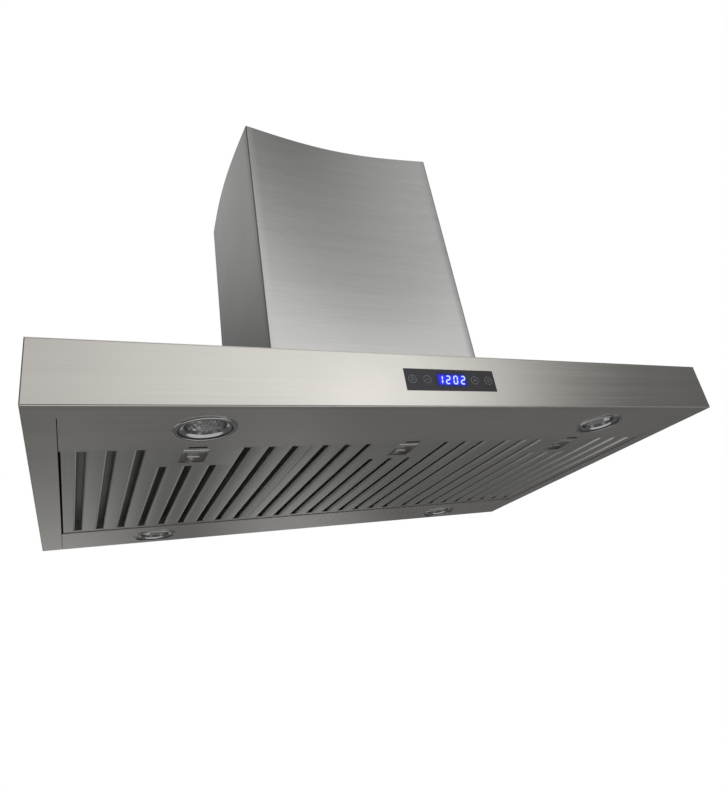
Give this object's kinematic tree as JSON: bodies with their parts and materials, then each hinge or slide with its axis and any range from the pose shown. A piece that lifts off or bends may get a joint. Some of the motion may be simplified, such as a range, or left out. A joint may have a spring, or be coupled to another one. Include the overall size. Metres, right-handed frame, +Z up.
{
  "type": "island range hood",
  "caption": "Ceiling-hung island range hood: flat box canopy, square chimney, tilting baffle filters with spring latches, recessed lamps, touch panel, blower and duct collar.",
  "frame": {"origin": "centre of the ceiling plate's top face, which the ceiling bolts hold and the hood hangs from", "axes": "+X to the right along the canopy's width, +Y from the control panel's front face to the back, +Z up"},
  "size_m": [0.9, 0.6005, 0.5756],
  "materials": {
    "canopy_steel": "brushed",
    "inner_steel": "mill finish",
    "filter_steel": "brushed",
    "baffle_steel": "mill finish",
    "latch_steel": "satin",
    "spring_steel": "bright",
    "lamp_trim": "satin nickel",
    "lamp_mirror": "faceted, polished",
    "lamp_quartz": "clear",
    "lamp_ceramic": "matt",
    "panel_glass": "polished black glass",
    "black_plastic": "moulded",
    "circuit_board": "solder mask",
    "display": "display window",
    "pad_metal": "plain",
    "chimney_steel": "brushed",
    "fastener_steel": "plain",
    "zinc_steel": "zinc coated",
    "blower_black": "moulded",
    "wheel_metal": "zinc coated",
    "motor_metal": "machined",
    "capacitor_white": "moulded",
    "loom_black": "matt"
  },
  "bodies": {
    "root": {"canopy_front": "canopy_steel", "canopy_rear": "canopy_steel", "canopy_side_left": "canopy_steel", "canopy_side_right": "canopy_steel", "canopy_top": "canopy_steel", "rail_upstand": "canopy_steel", "bulkheads": "inner_steel", "lamp_ring_front_left": "lamp_trim", "lamp_reflector_front_left": "lamp_mirror", "lamp_ring_front_right": "lamp_trim", "lamp_reflector_front_right": "lamp_mirror", "lamp_ring_rear_left": "lamp_trim", "lamp_reflector_rear_left": "lamp_mirror", "lamp_ring_rear_right": "lamp_trim", "lamp_reflector_rear_right": "lamp_mirror", "lamp_capsules": "lamp_quartz", "lamp_sockets": "lamp_ceramic", "control_glass": "panel_glass", "control_housing": "black_plastic", "cable_gland": "black_plastic", "control_board": "circuit_board", "control_display": "display", "touch_pads": "pad_metal", "chimney_front": "chimney_steel", "chimney_rear": "chimney_steel", "chimney_screws": "fastener_steel", "frame_bolts": "fastener_steel", "damper_pin": "fastener_steel", "frame_base": "zinc_steel", "lower_posts": "zinc_steel", "upper_posts": "zinc_steel", "ceiling_plate": "zinc_steel", "motor_box": "zinc_steel", "duct_collar": "zinc_steel", "motor_plate": "zinc_steel", "wiring_box": "zinc_steel", "blower_scroll": "blower_black", "inlet_ring": "blower_black", "motor_can": "motor_metal", "capacitor": "capacitor_white", "wiring_loom": "loom_black"},
    "filter_left": {"filter_frame_left": "filter_steel", "filter_baffles_left": "baffle_steel", "latch_cup_left": "latch_steel", "latch_spring_left": "spring_steel"},
    "latch_left": {"latch_slide_left": "latch_steel"},
    "filter_centre": {"filter_frame_centre": "filter_steel", "filter_baffles_centre": "baffle_steel", "latch_cup_centre": "latch_steel", "latch_spring_centre": "spring_steel"},
    "latch_centre": {"latch_slide_centre": "latch_steel"},
    "filter_right": {"filter_frame_right": "filter_steel", "filter_baffles_right": "baffle_steel", "latch_cup_right": "latch_steel", "latch_spring_right": "spring_steel"},
    "latch_right": {"latch_slide_right": "latch_steel"},
    "wheel": {"blower_wheel": "wheel_metal", "motor_shaft": "motor_metal"},
    "damper_left": {"damper_flap_left": "zinc_steel"},
    "damper_right": {"damper_flap_right": "zinc_steel"}
  },
  "joints": [
    {"name": "filter_left_tilt", "type": "hinge", "parent": "root", "child": "filter_left", "pos_m": [-0.2794, 0.19, -0.5716], "axis": [1, 0, 0], "range_deg": [0, 70]},
    {"name": "latch_left_slide", "type": "slide", "parent": "filter_left", "child": "latch_left", "axis": [0, 1, 0], "range_m": [0, 0.008], "stiffness_N_per_m": 400, "springref_m": -0.005, "deforming": ["latch_spring_left"]},
    {"name": "filter_centre_tilt", "type": "hinge", "parent": "root", "child": "filter_centre", "pos_m": [0, 0.19, -0.5716], "axis": [1, 0, 0], "range_deg": [0, 70]},
    {"name": "latch_centre_slide", "type": "slide", "parent": "filter_centre", "child": "latch_centre", "axis": [0, 1, 0], "range_m": [0, 0.008], "stiffness_N_per_m": 400, "springref_m": -0.005, "deforming": ["latch_spring_centre"]},
    {"name": "filter_right_tilt", "type": "hinge", "parent": "root", "child": "filter_right", "pos_m": [0.2794, 0.19, -0.5716], "axis": [1, 0, 0], "range_deg": [0, 70]},
    {"name": "latch_right_slide", "type": "slide", "parent": "filter_right", "child": "latch_right", "axis": [0, 1, 0], "range_m": [0, 0.008], "stiffness_N_per_m": 400, "springref_m": -0.005, "deforming": ["latch_spring_right"]},
    {"name": "wheel_spin", "type": "hinge", "parent": "root", "child": "wheel", "pos_m": [-0.025, 0, -0.384], "axis": [0, 1, 0], "continuous": true},
    {"name": "damper_left_swing", "type": "hinge", "parent": "root", "child": "damper_left", "pos_m": [0, 0, -0.1955], "axis": [0, 1, 0], "range_deg": [0, 75]},
    {"name": "damper_right_swing", "type": "hinge", "parent": "root", "child": "damper_right", "pos_m": [0, 0, -0.1955], "axis": [0, -1, 0], "range_deg": [0, 75]}
  ]
}
